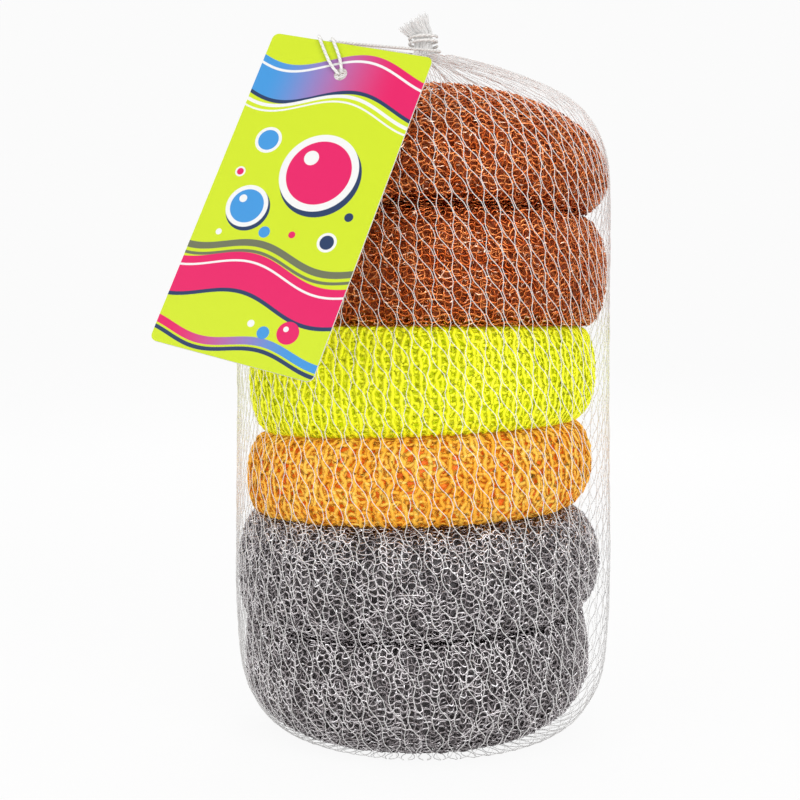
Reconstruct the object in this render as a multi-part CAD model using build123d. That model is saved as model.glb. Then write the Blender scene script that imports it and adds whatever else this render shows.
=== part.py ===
from build123d import *
import math
import os

# Six round pot scourers stacked in a knitted net sleeve, with a card tag on a string.
# Millimetres. X runs to the right of the pack, Y to the back, Z up.
# The origin is the middle of the base, on the axis of the sleeve.

# Fits
seat_gap = 0.3              # between two pieces that press on each other
hold_gap = 0.2              # between a knotted string or a ring and what it holds
loop_gap = 0.3              # between the neck and the loop that turns on it
cut_over = 1.0              # overrun of every cut

# The scourers from the bottom up
scourer_names = ["steel_scourer_lower", "steel_scourer_upper", "orange_scourer",
                 "lime_scourer", "copper_scourer_lower", "copper_scourer_upper"]
scourer_radii = [42.8, 44.6, 42.4, 42.4, 43.2, 43.4]
scourer_pitches = [28.6, 25.0, 20.1, 24.2, 26.7, 35.0]          # heights in the stack
scourer_offsets = [-1.2, -1.0, -0.9, -0.2, 1.6, 1.6]            # of their middles in X
widest_shares = [0.54, 0.46, 0.50, 0.50, 0.50, 0.28]            # of the height, where each is widest
low_face_shares = [0.68, 0.84, 0.82, 0.82, 0.84, 0.84]          # of the radius, where its flat faces end
high_face_shares = [0.86, 0.82, 0.82, 0.84, 0.84, 0.84]

# The drawn-in middle of a scourer
dimple_radius = 15.0        # where the flat face starts to fall into the middle
dimple_depth = 6.5
stalk_radius = 3.2          # the gathered end of the knitted tube
stalk_height = 4.2
dish_radius = 17.0          # the shallow hollow in the other face
dish_roof = 6.5             # the level middle of that hollow
dish_depth = 2.6
pleat_count = 12
pleat_radius = 1.5          # a fold's groove at its outer end
pleat_root = 0.5            # and where it meets the stalk
tie_radius = 0.6            # the wire of the ring that holds the gathered end
tie_opening = 36.0          # between the ring's two ends, in degrees
wale_names = ["orange_scourer", "lime_scourer"]     # broad plastic loops, whose upright columns stand out
wale_count = 40
wale_groove_share = 0.36    # of a column's width, the groove beside it
wale_depth = 1.5            # of a groove at the widest ring
wale_fade = 0.4             # how far outside the flat faces a groove's floor runs out

# The net sleeve, as radii and heights on its outer face
net_wall = 0.6              # thickness of the knitted net, knots included
net_radius = 46.5
net_widest = 40.0           # height of the widest ring
net_base_radius = 32.0      # edge of the flat that the pack stands on
net_tuck_radius = 12.0      # inside, the net rises to its gathered end from here
rim_radius = 45.2           # where the rounded bottom meets the side
rim_height = 17.0
shoulder_radius = 45.8      # where the sleeve starts to draw in over the top scourer
shoulder_drop = 26.2        # and its depth below the top of the stack
crown_radius = 39.9         # a ring on the rounded crown
crown_drop = 10.6
cone_radius = 21.6          # a ring on the gathered cone above it
cone_drop = 1.0
crown_slope = 48.0          # how far those two rings face up, in degrees
cone_slope = 68.0
neck_slope = 73.0           # and how far the gathers do where they reach the neck
neck_radius = 2.8
neck_rise = 4.2             # from the top of the stack up to where the gathers reach the neck
neck_bore = 0.8
tail_radius = 4.2
tail_length = 5.0
tail_lean = 30.0            # the tail falls to the left, in degrees
gather_rise = 3.2           # height that the folds gain before they are bound
gap_columns = 20            # openings round the sleeve, in staggered rows
gap_rows = 12
gap_low = 7.0               # height where the lowest openings start
gap_drop = 10.2             # from the top of the stack down to where the highest end
gap_side_share = 0.5        # of an opening's height, the part with upright sides
mesh_strand = 1.6           # the strands between openings
crown_rows = 3              # more rows of openings, over the crown
crown_gap_outer = 41.0      # radius where the outermost of them starts
crown_gap_inner = 8.5       # and where the innermost ends, at the gathers
wedge_share = 0.35          # of the sleeve's radius, the depth that an opening is cut
stack_top = net_wall + sum(scourer_pitches)
neck_height = stack_top + neck_rise

# Strings
string_radius = 0.35
winding_pitch = 1.15
winding_turns = 2

# The tag
tag_width = 39.0
tag_height = 75.0
tag_thickness = 0.5
tag_corner = 1.5
hole_radius = 1.5
hole_drop = 7.3             # from the top edge to the middle of the hole
tag_gap = 0.35              # between the back of the tag and the net
tag_turn = -107.8           # where the tag faces, in degrees round Z from X
tag_rise = 21.4             # how far the tag faces up, in degrees
tag_roll = -13.5            # its turn in its own plane, in degrees
tag_side = -6.2             # from the line where it touches the net to its hole, sideways
tag_reach = 10.0            # from the ring where it touches the net up to its hole
strand_lean = 39.8          # the strands' lean to the left of the tag's long axis, in degrees
leg_spread = 0.45           # half the distance between the two legs of the string
wrap_spread = 1.3           # half the distance between the two wraps over the edge
bridge_drop = 1.9           # from the edge down to the turn behind the tag
pivot_rise = 0.6            # from the edge up to the axis on which the tag flaps
joint_gap = 0.8             # from that axis to the end of each string

# Shapes
run_share = 0.45            # of the shorter run that a bend in a string takes
outline_samples = 400
outward = Vector(1, 0)      # in the upright plane, as radius and height
upward = Vector(0, 1)


def arc_pair(start, start_way, end, end_way):
    """Two arcs that run from one point and direction to another without a kink."""
    span = end - start
    along = span.dot(start_way + end_way)
    spread = 2 * (1 - start_way.dot(end_way))
    reach = span.dot(span) / (along + math.sqrt(along ** 2 + spread * span.dot(span)))
    near = start + start_way * reach
    far = end - end_way * reach
    middle = (near + far) / 2
    return [TangentArc(start, middle, tangent=start_way), TangentArc(middle, end, tangent=far - near)]


def rounding(start, end, corner):
    """A rounded edge from start to end that leaves and arrives along the lines to the corner."""
    return arc_pair(start, (corner - start).normalized(), end, (end - corner).normalized())


def dome(rim, crown):
    """A half-egg outline from a rim up to the crown on the axis, rounder than one pair of arcs."""
    half_way = math.radians(45)
    rise = crown.Y - rim.Y
    shoulder = rim + Vector(rim.X * (math.cos(half_way) - 1), rise * math.sin(half_way))
    way = Vector(-rim.X, rise).normalized()
    return arc_pair(rim, upward, shoulder, way) + arc_pair(shoulder, way, crown, -outward)


def facing(angle):
    """The direction at an angle above the level, as radius and height."""
    return Vector(math.cos(math.radians(angle)), math.sin(math.radians(angle)))


def rising(angle):
    """The way up a side that faces at an angle above the level."""
    return Vector(-math.sin(math.radians(angle)), math.cos(math.radians(angle)))


def closed_section(edges):
    """The face inside a closed chain of edges in the upright plane, as radius and height."""
    return Plane.XZ * make_face(Curve() + edges)


def stack_levels():
    """Bottom and top height of each scourer, one seated above the other."""
    levels = []
    low = net_wall + seat_gap
    for pitch in scourer_pitches:
        levels.append((low, low + pitch - seat_gap))
        low += pitch
    return levels


def drawn_in_face(face, side, edge):
    """Half outline of a face drawn in to its stalk. Side is 1 if the solid lies above the face."""
    foot = face + side * dimple_depth
    tip = foot - side * stalk_height
    slope = arc_pair(Vector(stalk_radius, foot), outward, Vector(dimple_radius, face), outward)
    return slope + [
        Line((0, tip), (stalk_radius, tip)),
        Line((stalk_radius, tip), (stalk_radius, foot)),
        Line((dimple_radius, face), edge),
    ], tip


def pleat_cutters(face, side):
    """Radial folds of the gathered cloth, as slim cones that lie on the slope of the dimple."""
    foot = Vector(stalk_radius + pleat_root, 0, face + side * (dimple_depth - pleat_root))
    rim = Vector(dimple_radius, 0, face)
    way = rim - foot
    cone = Cone(pleat_root, pleat_radius, way.length, align=(Align.CENTER, Align.CENTER, Align.MIN))
    placed = Plane(origin=foot, z_dir=way) * cone
    return [Rot(0, 0, 360 / pleat_count * (k + 0.5)) * placed for k in range(pleat_count)]


def wale_cutters(place, low, high):
    """Thin sectors that cut the grooves between the upright columns of loops."""
    radius = scourer_radii[place]
    rim = Vector(radius - wale_depth, low + (high - low) * widest_shares[place])
    foot = Vector(radius * low_face_shares[place], low - wale_fade)
    head = Vector(radius * high_face_shares[place], high + wale_fade)
    outside = radius + cut_over
    edges = rounding(foot, rim, Vector(rim.X, foot.Y)) + rounding(rim, head, Vector(rim.X, head.Y)) + [
        Line(foot, (outside, foot.Y)),
        Line((outside, foot.Y), (outside, head.Y)),
        Line((outside, head.Y), head),
    ]
    pitch = 360 / wale_count
    sector = revolve(closed_section(edges), Axis.Z, pitch * wale_groove_share)
    return [Rot(0, 0, pitch * k) * sector for k in range(wale_count)]


def make_scourer(place, low, high):
    """One knitted tube rolled to a bulged disc, with its gathered, pleated middle, and its tie."""
    radius = scourer_radii[place]
    rim = Vector(radius, low + (high - low) * widest_shares[place])
    low_edge = Vector(radius * low_face_shares[place], low)
    edges = rounding(low_edge, rim, Vector(radius, low))
    if place == len(scourer_names) - 1:
        face, side = low, 1
        middle, tip = drawn_in_face(face, side, low_edge)
        crown = Vector(0, high)
        edges += dome(rim, crown) + [Line(crown, (0, tip))]
    else:
        face, side = high, -1
        high_edge = Vector(radius * high_face_shares[place], high)
        middle, tip = drawn_in_face(face, side, high_edge)
        depth = dish_depth
        if place == 0:
            depth = stub_top() + seat_gap - low
        dish = Vector(0, low + depth)
        edges += rounding(rim, high_edge, Vector(radius, high))
        edges += arc_pair(Vector(dish_roof, dish.Y), outward, Vector(dish_radius, low), outward)
        edges += [
            Line(low_edge, (dish_radius, low)),
            Line((dish_roof, dish.Y), dish),
            Line(dish, (0, tip)),
        ]
    body = revolve(closed_section(edges + middle), Axis.Z)
    cutters = pleat_cutters(face, side)
    if scourer_names[place] in wale_names:
        cutters += wale_cutters(place, low, high)
    body = body - cutters
    ring = Pos(0, 0, (face + side * dimple_depth + tip) / 2) * make_tie_ring()
    offset = Pos(scourer_offsets[place], 0, 0)
    return offset * body, offset * ring


def make_tie_ring():
    """The open wire ring pinched round the gathered end of one scourer."""
    path = CenterArc((0, 0, 0), stalk_radius + hold_gap + tie_radius, tie_opening / 2, 360 - tie_opening)
    return sweep(Plane(origin=path @ 0, z_dir=path % 0) * Circle(tie_radius), path=path)


def winding_length():
    return winding_turns * winding_pitch + 2 * (string_radius + hold_gap)


def stub_top():
    """Height of the gathered bottom's end, inside the sleeve."""
    return gather_rise + net_wall + winding_length()


def ring_zone():
    """Height of neck that the string's own loop needs under the binding."""
    return 4 * string_radius + 2 * hold_gap


def neck_top():
    return neck_height + ring_zone() + winding_length()


def sleeve_side(inset):
    """The sleeve's side from its base ring up to its neck, moved in by the inset."""
    base = Vector(net_base_radius, inset)
    rim = Vector(rim_radius - inset, rim_height)
    widest = Vector(net_radius - inset, net_widest)
    shoulder = Vector(shoulder_radius - inset, stack_top - shoulder_drop)
    crown = Vector(crown_radius, stack_top - crown_drop) - facing(crown_slope) * inset
    cone = Vector(cone_radius, stack_top - cone_drop) - facing(cone_slope) * inset
    neck = Vector(neck_radius, neck_height)
    if inset:
        neck = Vector(neck_bore, neck_height - inset)
    stations = [
        (rim, upward),
        (widest, upward),
        (shoulder, upward),
        (crown, rising(crown_slope)),
        (cone, rising(cone_slope)),
        (neck, rising(neck_slope)),
    ]
    side = rounding(base, rim, Vector(rim.X, base.Y))
    for (start, start_way), (end, end_way) in zip(stations, stations[1:]):
        side += arc_pair(start, start_way, end, end_way)
    return side


def opening(row_height):
    """Half the height of an opening to its points, and half that of its upright sides."""
    point = row_height / (1 + gap_side_share) - mesh_strand / 2
    return point, point * gap_side_share


def column_turns(row):
    """The turn of each opening in a row, half a column on in every second row."""
    return [2 * math.pi / gap_columns * (column + row % 2 / 2) for column in range(gap_columns)]


def side_cutters():
    """Long six-sided openings through the sleeve's side, each a wedge that narrows towards the axis."""
    row_height = (stack_top - gap_drop - gap_low) / gap_rows
    point, side = opening(row_height)
    width = math.pi * net_radius / gap_columns - mesh_strand / 2
    right = [(0, -point), (width, -side), (width, side)]
    left = [(-x, -y) for x, y in right]
    wedge = extrude(make_face(Polyline(*right, *left, close=True)), net_radius * wedge_share, taper=180 / gap_columns)
    cutters = []
    for row in range(gap_rows):
        for turn in column_turns(row):
            way = Vector(math.cos(turn), math.sin(turn), 0)
            outside = way * (net_radius + cut_over) + Vector(0, 0, gap_low + row_height * (row + 0.5))
            cutters.append(Plane(origin=outside, x_dir=Vector(0, 0, 1).cross(way), z_dir=-way) * wedge)
    return cutters


def crown_cutters():
    """The openings over the crown, cut straight down, narrower towards the gathers."""
    spread = crown_rows - 1 + 2 / (1 + gap_side_share)
    row_height = (crown_gap_outer - crown_gap_inner + mesh_strand) / spread
    point, side = opening(row_height)
    foot = stack_top - shoulder_drop
    cutters = []
    for row in range(crown_rows):
        middle = crown_gap_outer - point - row_height * row
        halves = [(r, math.pi * r / gap_columns - mesh_strand / 2) for r in (middle - side, middle + side)]
        right = [(middle - point, 0), *halves, (middle + point, 0)]
        left = [(r, -half) for r, half in halves[::-1]]
        column = extrude(Pos(0, 0, foot) * make_face(Polyline(*right, *left, close=True)), neck_height - foot)
        cutters += [Rot(0, 0, math.degrees(turn)) * column for turn in column_turns(gap_rows + row)]
    return cutters


def make_net_sleeve():
    """The net as one thin wall, from its gathered end inside the bottom to its neck and tail."""
    gather_top = gather_rise + net_wall
    gather = arc_pair(Vector(neck_radius, gather_top), outward, Vector(net_tuck_radius, net_wall), outward)
    edges = sleeve_side(0) + sleeve_side(net_wall) + gather + [
        Line((0, 0), (net_base_radius, 0)),
        Line((neck_radius, neck_height), (neck_radius, neck_top())),
        Line((neck_radius, neck_top()), (neck_bore, neck_top())),
        Line((neck_bore, neck_top()), (neck_bore, neck_height - net_wall)),
        Line((net_base_radius, net_wall), (net_tuck_radius, net_wall)),
        Line((neck_radius, gather_top), (neck_radius, stub_top())),
        Line((neck_radius, stub_top()), (0, stub_top())),
        Line((0, stub_top()), (0, 0)),
    ]
    sleeve = revolve(closed_section(edges), Axis.Z) - (side_cutters() + crown_cutters())
    lean = Rot(0, -tail_lean, 0)
    rings = [
        Pos(0, 0, neck_top()) * Circle(neck_radius),
        Pos(0, 0, neck_top()) * lean * Pos(0, 0, tail_length / 2) * Circle((neck_radius + tail_radius) / 2),
        Pos(0, 0, neck_top()) * lean * Pos(0, 0, tail_length) * Circle(tail_radius),
    ]
    bore = Pos(0, 0, neck_top() - cut_over) * Cylinder(neck_bore, 2 * cut_over)
    leaning_bore = Pos(0, 0, neck_top()) * lean * Pos(0, 0, tail_length / 2) * Cylinder(
        neck_bore, tail_length + 2 * cut_over)
    return sleeve + (loft(rings) - bore - leaning_bore)


def make_winding(foot, core_radius, label):
    """A binding of string round a gathered neck, wound as one rising tube."""
    path_radius = core_radius + hold_gap + string_radius
    start_height = foot + string_radius + hold_gap

    def point(turn):
        angle = 2 * math.pi * turn
        return Vector(path_radius * math.cos(angle), path_radius * math.sin(angle),
                      start_height + winding_pitch * turn)

    def way(turn):
        angle = 2 * math.pi * turn
        rise = winding_pitch / (2 * math.pi * path_radius)
        return Vector(-math.sin(angle), math.cos(angle), rise).normalized()

    arcs = []
    for k in range(2 * winding_turns):
        arcs += arc_pair(point(k / 2), way(k / 2), point((k + 1) / 2), way((k + 1) / 2))
    print(label, "gap between turns", round(winding_pitch - 2 * string_radius, 2))
    return string_tube(Wire(arcs), string_radius, False)


def string_tube(path, radius, round_ends):
    """A round string along a path."""
    tube = sweep(Plane(origin=path @ 0, z_dir=path % 0) * Circle(radius), path=path)
    if round_ends:
        tube = tube + [Pos(*(path @ 0)) * Sphere(radius), Pos(*(path @ 1)) * Sphere(radius)]
    return tube


def bent_path(points, label):
    """Straight runs joined by arcs, each as large as its two runs allow."""
    radii = []
    for before, corner, after in zip(points, points[1:], points[2:]):
        turn = (corner - before).get_angle(after - corner)
        shorter = min((corner - before).length, (after - corner).length)
        radii.append(run_share * shorter / math.tan(math.radians(turn) / 2))
    print(label, "bend radii", [round(radius, 2) for radius in radii])
    return FilletPolyline(*points, radius=radii)


def print_least_gap(path, radius, label):
    """The least gap of a string to itself, over points further apart along it than across."""
    count = 240
    points = [path @ (k / count) for k in range(count + 1)]
    step = path.length / count
    skip = math.ceil(math.pi * (string_radius + hold_gap + tag_thickness) / step)
    gaps = [(points[i] - points[j]).length for i in range(count) for j in range(i + skip, count + 1)]
    print(label, "least gap to itself", round(min(gaps) - 2 * radius, 2))


def tag_ways():
    """Where the tag faces, its level line and its steepest line down."""
    turn, rise = math.radians(tag_turn), math.radians(tag_rise)
    front = Vector(math.cos(rise) * math.cos(turn), math.cos(rise) * math.sin(turn), math.sin(rise))
    down = (front * front.Z - Vector(0, 0, 1)).normalized()
    return front, front.cross(down), down


def tag_touch():
    """The point of the sleeve that a flat tag facing this way touches first."""
    turn, rise = math.radians(tag_turn), math.radians(tag_rise)
    samples = [k / outline_samples for k in range(outline_samples + 1)]
    points = [curve @ sample for curve in sleeve_side(0) for sample in samples]
    touch = max(points, key=lambda point: point.X * math.cos(rise) + point.Y * math.sin(rise))
    return Vector(touch.X * math.cos(turn), touch.X * math.sin(turn), touch.Y)


def tag_frame():
    """The plane of the tag's middle layer at its hole, X across the tag and Y up along it."""
    front, level, down = tag_ways()
    roll = math.radians(tag_roll)
    along = down * math.cos(roll) + level * math.sin(roll)
    origin = tag_touch() + front * (tag_gap + tag_thickness / 2) + level * tag_side - down * tag_reach
    return Plane(origin=origin, x_dir=front.cross(along), z_dir=front)


def leaning_frame(frame):
    """The tag's frame turned so that its Y runs along the strands from the hole to the edge."""
    lean = math.radians(strand_lean)
    across = frame.x_dir * math.cos(lean) + frame.y_dir * math.sin(lean)
    return Plane(origin=frame.origin, x_dir=across, z_dir=frame.z_dir)


def make_tag(frame):
    """The flat card with its round hole."""
    card = Pos(0, hole_drop - tag_height / 2) * RectangleRounded(tag_width, tag_height, tag_corner)
    blank = extrude(card, tag_thickness / 2, both=True)
    return frame * (blank - Cylinder(hole_radius, tag_thickness + 2 * cut_over))


def strand_depths():
    """How far behind the tag's middle layer the strands and the crossing turn lie."""
    strand = tag_thickness / 2 + hold_gap + string_radius
    return strand, strand + 2 * string_radius + hold_gap


def edge_reach(sideways):
    """Distance along the leaning strands from the hole to the tag's top edge."""
    lean = math.radians(strand_lean)
    return (hole_drop - sideways * math.sin(lean)) / math.cos(lean)


def make_hitch(frame):
    """The cow hitch: through the hole, up the front, over the edge and across behind the legs."""
    strand, bridge = strand_depths()
    low = math.sqrt((hole_radius - hold_gap - string_radius) ** 2 - leg_spread ** 2)
    over_edge = (string_radius + hold_gap) / math.cos(math.radians(strand_lean)) + string_radius
    leg_end = edge_reach(0) + pivot_rise - joint_gap
    cross = edge_reach(wrap_spread) - bridge_drop

    def half(side):
        wrap = side * wrap_spread
        over = edge_reach(wrap) + over_edge
        leg = side * leg_spread
        return [
            (leg, leg_end, -strand), (leg, low, -strand), (leg, low, strand),
            (wrap, over, strand), (wrap, over, -bridge), (wrap, cross, -bridge),
        ]

    local = half(1) + half(-1)[::-1]
    leaning = leaning_frame(frame)
    path = bent_path([leaning.from_local_coords(Vector(*point)) for point in local], "hitch")
    print_least_gap(path, string_radius, "hitch")
    return string_tube(path, string_radius, True)


def flap_pivot(frame):
    """The point behind the top edge where the string's legs bend."""
    strand, _ = strand_depths()
    return leaning_frame(frame).from_local_coords(Vector(0, edge_reach(0) + pivot_rise, -strand))


def neck_loop_height():
    return neck_height + ring_zone() / 2


def make_tag_string(pivot):
    """The string's loop round the neck and its two legs to the tag, as one tube."""
    middle = Vector(0, 0, neck_loop_height())
    reach = (pivot - middle).length - joint_gap
    loop_radius = neck_radius + loop_gap + string_radius
    end = Vector(reach, leg_spread)
    swing = math.degrees(math.acos(loop_radius / end.length) + math.atan2(end.Y, end.X))
    touch = PolarLine((0, 0), loop_radius, swing) @ 1
    legs = [
        Line(end, touch),
        CenterArc((0, 0), loop_radius, swing, 360 - 2 * swing),
        Line((touch.X, -touch.Y), (end.X, -end.Y)),
    ]
    side_way = Vector(0, 0, 1).cross(pivot - middle)
    plane = Plane(origin=middle, x_dir=pivot - middle, z_dir=(pivot - middle).cross(side_way))
    path = plane * Wire(legs)
    print("tag string length", round(path.length, 1))
    return string_tube(path, string_radius, True)


def main():
    os.makedirs("parts", exist_ok=True)
    nodes = {}
    for place, (low, high) in enumerate(stack_levels()):
        name = scourer_names[place]
        nodes[name], nodes[name + "_tie"] = make_scourer(place, low, high)
    frame = tag_frame()
    pivot = flap_pivot(frame)
    nodes["net_sleeve"] = make_net_sleeve()
    nodes["neck_binding"] = make_winding(neck_height + ring_zone(), neck_radius, "neck binding")
    nodes["base_binding"] = make_winding(gather_rise + net_wall, neck_radius, "base binding")
    nodes["tag_string"] = make_tag_string(pivot)
    nodes["tag_hitch"] = make_hitch(frame)
    nodes["tag_card"] = make_tag(frame)
    for name, shape in nodes.items():
        export_step(shape, f"parts/{name}.step")
        print(name, "volume", round(shape.volume, 1))
    print("string turns at", tuple(round(c, 3) for c in (0, 0, neck_loop_height())), "about Z")
    print("tag flaps at", [round(c, 3) for c in pivot], "about", [round(c, 5) for c in frame.x_dir])
    print("tag swings at", [round(c, 3) for c in frame.origin], "about", [round(c, 5) for c in frame.z_dir])


main()
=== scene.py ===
# %% [markdown]
# # A pack of six pot scourers in a net sleeve
# Six round scourers are stacked in a knitted net: two of steel ribbon, one orange, one lime, and two
# of copper ribbon. A card tag hangs from the neck of the net on a string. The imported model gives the
# sizes and the joints. This script gives every piece its real build: knitted loops, net strands,
# twisted string and printed card.

import math

import bpy
import numpy as np
from mathutils import Matrix, Vector


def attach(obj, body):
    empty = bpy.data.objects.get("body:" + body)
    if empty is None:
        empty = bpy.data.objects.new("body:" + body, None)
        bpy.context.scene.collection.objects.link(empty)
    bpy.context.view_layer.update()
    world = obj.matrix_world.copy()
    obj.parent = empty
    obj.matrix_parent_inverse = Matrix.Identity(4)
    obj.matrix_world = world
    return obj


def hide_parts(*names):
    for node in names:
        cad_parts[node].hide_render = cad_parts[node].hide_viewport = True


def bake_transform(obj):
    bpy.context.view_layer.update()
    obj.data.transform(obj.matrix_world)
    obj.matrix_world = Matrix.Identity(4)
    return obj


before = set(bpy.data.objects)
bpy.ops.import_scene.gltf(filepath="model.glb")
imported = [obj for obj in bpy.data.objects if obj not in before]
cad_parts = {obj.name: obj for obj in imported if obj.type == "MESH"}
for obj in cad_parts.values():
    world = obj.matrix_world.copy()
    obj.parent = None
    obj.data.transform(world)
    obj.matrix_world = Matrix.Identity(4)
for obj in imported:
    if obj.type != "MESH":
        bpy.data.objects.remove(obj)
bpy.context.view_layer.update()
mm = 0.001

# %% [markdown]
# ## Camera
# The photograph was taken a little above the middle of the pack, from about 32 cm away, looking down
# by three and a half degrees. A camera is placed by its distance first, because distance sets how the
# tag and the bulges overlap. The lens only sets how large the picture is.

# %% Camera
scene = bpy.context.scene
scene.view_settings.view_transform = "Standard"
camera_data = bpy.data.cameras.new("camera")
camera_data.lens = 58.5
camera_data.sensor_width = 36
camera = bpy.data.objects.new("camera", camera_data)
camera.location = (-5.66 * mm, -322 * mm, 100 * mm)
camera.rotation_euler = (math.radians(90 - 3.5), 0, 0)
scene.collection.objects.link(camera)
scene.camera = camera

# %% [markdown]
# ## Node helpers
# The world, the floor and every finish are built from shader nodes. These helpers add a node, link or set
# its sockets by name, and lay the nodes out in a row.


# %% Add and join nodes
node_gap = 200


def feed(tree, value, socket):
    """Links an output to the socket, or sets the socket to a plain value."""
    if isinstance(value, bpy.types.NodeSocket):
        tree.links.new(value, socket)
    else:
        socket.default_value = value


def set_sockets(tree, node, **values):
    for name, value in values.items():
        feed(tree, value, node.inputs[name.replace("_", " ")])


def add_node(tree, kind, **values):
    """A node of that kind. Values name its sockets, or its own settings where it has no such socket."""
    made = tree.nodes.new(kind)
    made.location = (node_gap * len(tree.nodes), 0)
    for name, value in values.items():
        if name.replace("_", " ") in made.inputs:
            set_sockets(tree, made, **{name: value})
        else:
            setattr(made, name, value)
    return made


def maths(tree, operation, *values):
    """A Math node over numbers and outputs. Gives its result."""
    made = add_node(tree, "ShaderNodeMath", operation=operation)
    for value, socket in zip(values, made.inputs):
        feed(tree, value, socket)
    return made.outputs[0]


def mix_shaders(tree, mask, first, second):
    """Goes from the first shader to the second by the mask."""
    mix = add_node(tree, "ShaderNodeMixShader")
    for source, socket in zip((mask, first.outputs[0], second.outputs[0]), mix.inputs):
        tree.links.new(source, socket)
    return mix.outputs[0]


# %% [markdown]
# ## Light and floor
# Wire and plastic both need broad, soft light, or the loops break up into black and white specks. The
# world gives most of it. Rays that the camera or a shiny ribbon sends straight out see plain white, so
# the background is white without more light on the pack. Two large lamps add a gentle side.


# %% World and lamps
white = (1, 1, 1, 1)
sky_light = 0.6  # falls on the pack; the background is plain white
world = bpy.data.worlds.new("studio")
scene.world = world
world.use_nodes = True
sky = world.node_tree
sky.nodes.clear()
rays = add_node(sky, "ShaderNodeLightPath").outputs
seen = maths(sky, "MAXIMUM", rays["Is Camera Ray"], rays["Is Glossy Ray"])
seen = maths(sky, "MAXIMUM", seen, rays["Is Transmission Ray"])
soft_light = add_node(sky, "ShaderNodeBackground", Color=white, Strength=sky_light)
plain_white = add_node(sky, "ShaderNodeBackground", Color=white, Strength=1.0)
add_node(sky, "ShaderNodeOutputWorld", Surface=mix_shaders(sky, seen, soft_light, plain_white))


def add_lamp(name, place, target, size, power):
    """A square soft lamp that looks at a target."""
    data = bpy.data.lights.new(name, "AREA")
    data.size = size
    data.energy = power
    lamp = bpy.data.objects.new(name, data)
    lamp.location = place
    lamp.rotation_euler = (Vector(target) - Vector(place)).to_track_quat("-Z", "Y").to_euler()
    scene.collection.objects.link(lamp)


pack_middle = (0, 0, 85 * mm)
add_lamp("key_lamp", (0.45, -0.75, 0.45), pack_middle, 0.5, 3.8)
add_lamp("fill_lamp", (-0.70, -0.60, 0.35), pack_middle, 0.6, 2.6)
add_lamp("back_lamp", (0.10, 0.80, 0.60), pack_middle, 0.6, 2.5)

# %% Floor with a curved backdrop
def deselect():
    if bpy.context.object and bpy.context.object.mode != "OBJECT":
        bpy.ops.object.mode_set(mode="OBJECT")
    bpy.ops.object.select_all(action="DESELECT")


def select_where(obj, test, kind="VERT"):
    """Selects the vertices, edges or faces whose middle passes the test, and stays in edit mode."""
    bpy.ops.object.mode_set(mode="EDIT")
    bpy.ops.mesh.select_mode(type=kind)
    bpy.ops.mesh.select_all(action="DESELECT")
    bpy.ops.object.mode_set(mode="OBJECT")
    mesh = obj.data
    points = [vertex.co for vertex in mesh.vertices]
    group = {"VERT": mesh.vertices, "EDGE": mesh.edges, "FACE": mesh.polygons}[kind]
    for item in group:
        corners = [item.co] if kind == "VERT" else [points[i] for i in item.vertices]
        item.select = bool(test(sum(corners, Vector()) / len(corners)))
    bpy.ops.object.mode_set(mode="EDIT")


deselect()
bpy.ops.mesh.primitive_plane_add(size=4, location=(0, 0, 0))
floor = bpy.context.object
floor.name = "floor"
select_where(floor, lambda middle: middle.y > 1.9, "EDGE")
bpy.ops.mesh.extrude_region_move(TRANSFORM_OT_translate={"value": (0, 0, 2.5)})
select_where(floor, lambda middle: middle.y > 1.9 and middle.z < 0.1, "EDGE")
bpy.ops.mesh.bevel(offset=1.2, segments=24)
bpy.ops.object.mode_set(mode="OBJECT")
bpy.ops.object.shade_smooth()

plain_share = 0.92  # of the floor's look that is plain white, not lit
paper = bpy.data.materials.new("white_paper")
paper.use_nodes = True
tree = paper.node_tree
tree.nodes.clear()
rays = add_node(tree, "ShaderNodeLightPath").outputs
lit_paper = add_node(tree, "ShaderNodeBsdfDiffuse", Color=(0.86, 0.86, 0.86, 1))
white_paper = add_node(tree, "ShaderNodeEmission", Color=white, Strength=1.0)
part_seen = maths(tree, "MULTIPLY", rays["Is Camera Ray"], plain_share)
add_node(tree, "ShaderNodeOutputMaterial", Surface=mix_shaders(tree, part_seen, lit_paper, white_paper))
floor.data.materials.append(paper)

# %% [markdown]
# ## Effects that several finishes share
# A shader node group is a small machine that is built once and placed in many materials, each time
# with its own values. These groups give a patchy tone, the fine drawn lines along a ribbon, and the
# twist of a yarn with a mask for the painted shade between its plies. The patches lie on Object
# coordinates. The lines and the twist follow the UV map that each strand gets when it is made, with U
# along the strand in millimetres and V round it.


# %% Group helpers
def new_group(name, outputs, **inputs):
    """An empty shader group, with its inputs and results. A None or a tuple makes a vector socket."""
    group = bpy.data.node_groups.new(name, "ShaderNodeTree")
    for label, value in inputs.items():
        kind = "NodeSocketVector" if value is None or isinstance(value, tuple) else "NodeSocketFloat"
        socket = group.interface.new_socket(label.replace("_", " "), in_out="INPUT", socket_type=kind)
        if value is not None:
            socket.default_value = value
    for label in outputs:
        group.interface.new_socket(label, in_out="OUTPUT", socket_type="NodeSocketFloat")
    start = add_node(group, "NodeGroupInput")
    end = add_node(group, "NodeGroupOutput")
    return group, start.outputs, end.inputs


def place_group(tree, group, **values):
    """Places a group with its own values. Gives its results."""
    made = tree.nodes.new("ShaderNodeGroup")
    made.node_tree = group
    made.location = (node_gap * len(tree.nodes), 0)
    set_sockets(tree, made, **values)
    return made.outputs

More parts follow.
